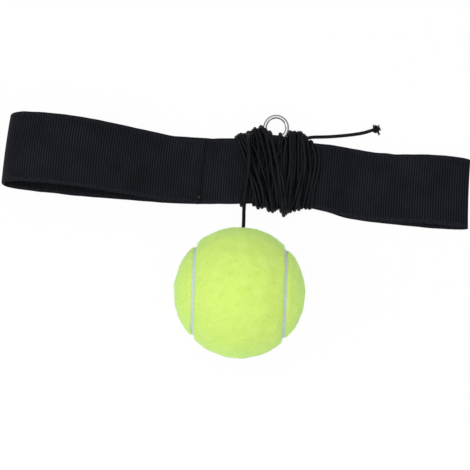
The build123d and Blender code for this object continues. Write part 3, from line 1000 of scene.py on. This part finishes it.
def nap_height(way):
    """How far the brushed nap stands up or lies down: soft lumps 2 to 6 mm across."""
    places = way * ball_radius / mm
    broad = np.array([noise.noise(Vector(place)) for place in places / 5.5])
    fine = np.array([noise.noise(Vector(place)) for place in places / 2.3])
    return (0.36 * broad + 0.12 * fine) * mm


def felt_height(way, away):
    """Distance of the felt's face from the ball's middle; it turns down at its edges and at the cord."""
    far, to_cord = np.maximum(away, 0) / mm, hole_distance(way)
    # In mm: a tight round-over on a broad one at the edge, and the dent where the cord pulls at it
    at_edge = 0.40 * np.exp(-far / 0.6) + 0.50 * np.exp(-far / 2.4)
    at_cord = 0.5 * np.exp(-(to_cord / (3 * mm)) ** 2) + 1.1 * np.exp(-(to_cord / (16 * mm)) ** 2)
    return ball_radius - (0.40 + at_edge + at_cord) * mm + nap_height(way)


def felt_mesh(side):
    """One felt: the part of the ball on its side of the seam, open where the cord goes in."""
    way, squares = sphere_grid(130)
    away, to_cord = edge_distance(way, side), hole_distance(way)
    near = (away[squares].max(axis=1) > 0) & (to_cord[squares].min(axis=1) > hole_radius - 0.2 * mm)
    way, squares = without_spare(way, squares[near])
    for _ in range(3):                  # points beyond the cut edge come back onto it
        slope, away = edge_slope(way, side, step=1e-4), edge_distance(way, side)
        short = np.where(away < 0, -away, 0)
        way = unit(way + slope * (short / np.maximum((slope**2).sum(axis=1), 1e-12))[:, None])
    away = edge_distance(way, side)
    rim = np.zeros(len(way), dtype=bool)
    rim[[corner for edge in rim_of(squares) for corner in edge]] = True
    at_hole = rim & (hole_distance(way) < 2 * hole_radius)
    aside = unit(way[at_hole] - (way[at_hole] @ hole_way)[:, None] * hole_way)
    way[at_hole] = unit(hole_way + aside * np.tan(hole_radius / ball_radius))
    chance = np.random.default_rng(5 + int(side))
    return way, felt_height(way, away) + 0.05 * mm * chance.normal(0, 1, len(way)), squares


def needle_felt():
    """Yellow needle felt: wool and nylon fibres, matted and brushed to a soft nap."""
    material, tree, shader = new_material("needle_punched_felt")
    # Fibres of 0.02 mm are too fine to show, so the fuzz is as coarse as their tufts, 0.9 mm
    place = add(tree, "TexCoord")
    fuzz = add(tree, "TexNoise",
               {"Vector": place.outputs["Object"], "Scale": 1 / (0.9091 * mm), "Detail": 5.0,
                "Roughness": 0.7})
    patch = add(tree, "TexNoise",
                {"Vector": place.outputs["Object"], "Scale": 1 / (6.25 * mm), "Detail": 3.0})
    tone = add(tree, "Math", {0: fuzz, 1: 0.5}, operation="MULTIPLY")
    tone = add(tree, "Math", {0: patch, 1: 0.5, 2: tone}, operation="MULTIPLY_ADD")
    ramp = add(tree, "ValToRGB", {0: tone}, ((0.3, "#C6E564"), (0.7, "#D3EC79")))
    bump = add(tree, "Bump", {"Height": tone, "Strength": 0.35, "Distance": 0.3 * mm})
    feed(shader, {"Base Color": ramp, "Normal": bump, "Roughness": 0.95,
                  "Sheen Weight": 0.9, "Sheen Roughness": 0.5, "Sheen Tint": linear("#CDFBB0")})
    return material


def rest_on_floor(piece):
    """Presses flat whatever would lie below the floor."""
    for vertex in piece.data.vertices:
        vertex.co.z = max(vertex.co.z, table_gap / 2)


def felt_piece(name, side, node, material):
    """Builds one felt and the wall at its cut edge."""
    way, height, squares = felt_mesh(side)
    rim = rim_of(squares)
    low = {}
    for corner in (corner for edge in rim for corner in edge):
        low.setdefault(corner, len(way) + len(low))
    backs = np.array([way[corner] * (ball_radius - felt_back) for corner in low])
    walls = [(b, a, low[a], low[b]) for a, b in rim]
    corners = np.concatenate([way * height[:, None], backs])
    piece = mesh_piece(name, turned(corners) + ball_middle, [*squares, *walls], material)
    rest_on_floor(piece)
    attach(piece, "ball")
    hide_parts(node)


def felt_nap(name, side, material):
    """The loose fibres of one felt: most lie along it, some stand, and some at its edge cross the seam."""
    chance = np.random.default_rng(40 + int(side))
    way = unit(chance.normal(0, 1, (3 * nap_count, 3)))
    way = way[(edge_distance(way, side) > -0.1 * mm) & (hole_distance(way) > 1.5 * mm)][:nap_count]
    edge = unit(chance.normal(0, 1, (60 * nap_count, 3)))
    away = edge_distance(edge, side)
    way = np.concatenate([way, edge[(away > -0.1 * mm) & (away < 0.7 * mm)][:nap_count // 20]])
    away = edge_distance(way, side)
    roots = way * (felt_height(way, away) - 0.10 * mm)[:, None]
    ahead = chance.normal(0, 1, way.shape)
    ahead = unit(ahead - way * (ahead * way).sum(axis=1)[:, None])
    lengths = chance.uniform(0.8, 2.4, len(way)) * mm
    # At the cut edge they turn towards the seam and are shorter, so they cover its border
    share = np.exp(-np.maximum(away, 0) / (0.9 * mm))[:, None]
    ahead = unit(ahead * (1 - 0.6 * share) - unit(edge_slope(way, side, step=1e-3)) * 0.25 * share)
    lengths = lengths * (1 - 0.65 * share[:, 0])
    stands = np.where(chance.random(len(way)) < 0.85, chance.uniform(0.08, 0.30, len(way)),
                      chance.uniform(0.4, 1.0, len(way))) * mm
    stands -= lengths**2 / (2 * ball_radius)
    tufts = fibre_tufts(name, turned(roots) + ball_middle, turned(ahead), turned(way), lengths, stands,
                        nap_thick, material)
    rest_on_floor(tufts)
    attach(tufts, "ball")


felt = needle_felt()
# Loose wool and nylon fibres, soft and dull; real ones are 0.02 mm, these are thick enough to show
fibres = mottled("wool_nylon_fibres", 1.111 * mm, 2.0, ((0.3, "#C8E569"), (0.7, "#D1EB77")),
                 {"Roughness": 0.8, "Specular IOR Level": 0.2, "Sheen Weight": 0.4,
                  "Sheen Tint": linear("#CDFBB0")})
felt_piece("needle_felt_upper", 1.0, "felt_upper", felt)
felt_piece("needle_felt_lower", -1.0, "felt_lower", felt)
felt_nap("nap_upper", 1.0, fibres)
felt_nap("nap_lower", -1.0, fibres)


def cement_mesh():
    """The cement in the groove: a strip along the seam, uneven as dipped, with its sides and back."""
    way, squares = sphere_grid(200)
    near = np.abs(seam_distance(way))[squares].max(axis=1) < cement_half
    way, squares = without_spare(way, squares[near])
    x, y, z = (way * ball_radius / mm).T
    uneven = 0.06 * np.sin(0.9 * x + 1.1 * z) * np.sin(0.8 * y + 0.5) + 0.03 * np.sin(2.3 * y - 1.9 * x)
    climbs = np.minimum(0.2 * (np.abs(seam_distance(way)) / seam_half) ** 4, 0.15)
    face = ball_radius - (1.62 - climbs - uneven) * mm
    count = len(way)
    walls = [(b, a, a + count, b + count) for a, b in rim_of(squares)]
    corners = np.concatenate([way * face[:, None], way * (ball_radius - cement_back)])
    return corners, [*squares, *(squares[:, ::-1] + count), *walls]


# Vulcanised cement: pale, matt and slightly gritty
vulcanised = mottled("vulcanised_cement", 1.4286 * mm, 4.0, ((0.0, "#B5C6BE"), (1.0, "#CEDCD8")),
                     {"Roughness": 0.85}, rise={"Strength": 0.4, "Distance": 0.15 * mm})
corners, faces = cement_mesh()
cement = mesh_piece("seam_cement_strip", turned(corners) + ball_middle, faces, vulcanised)
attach(cement, "ball")
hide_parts("seam_rubber")

# The core's two halves: moulded natural rubber, dark grey and matt
rubber = mottled("moulded_rubber", 2.5 * mm, 3.0, ((0.0, "#2B2B2A"), (1.0, "#3A3A38")), {"Roughness": 0.8})
refinish("core_half_upper", rubber)
refinish("core_half_lower", rubber)
